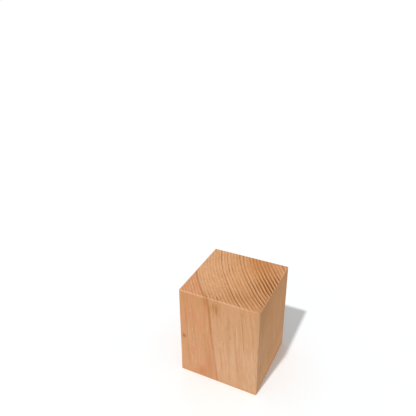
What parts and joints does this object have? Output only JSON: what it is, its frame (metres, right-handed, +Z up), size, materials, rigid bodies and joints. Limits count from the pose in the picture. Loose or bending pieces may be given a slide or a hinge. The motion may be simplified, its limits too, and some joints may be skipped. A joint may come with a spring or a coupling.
{
  "type": "wood block",
  "caption": "Solid square-sawn wood block standing on its end grain, with lightly eased edges and growth rings in low relief on the top; a plain riser, spacer or display stand.",
  "frame": {"origin": "middle of the underside, on the surface that the block stands on", "axes": "+Z up along the grain, -Y out of the front face, +X to the right seen from the front"},
  "size_m": [0.09, 0.09, 0.11],
  "materials": {
    "wood": "sawn and sanded bare timber, matt"
  },
  "bodies": {
    "root": {"block": "wood"}
  },
  "joints": []
}
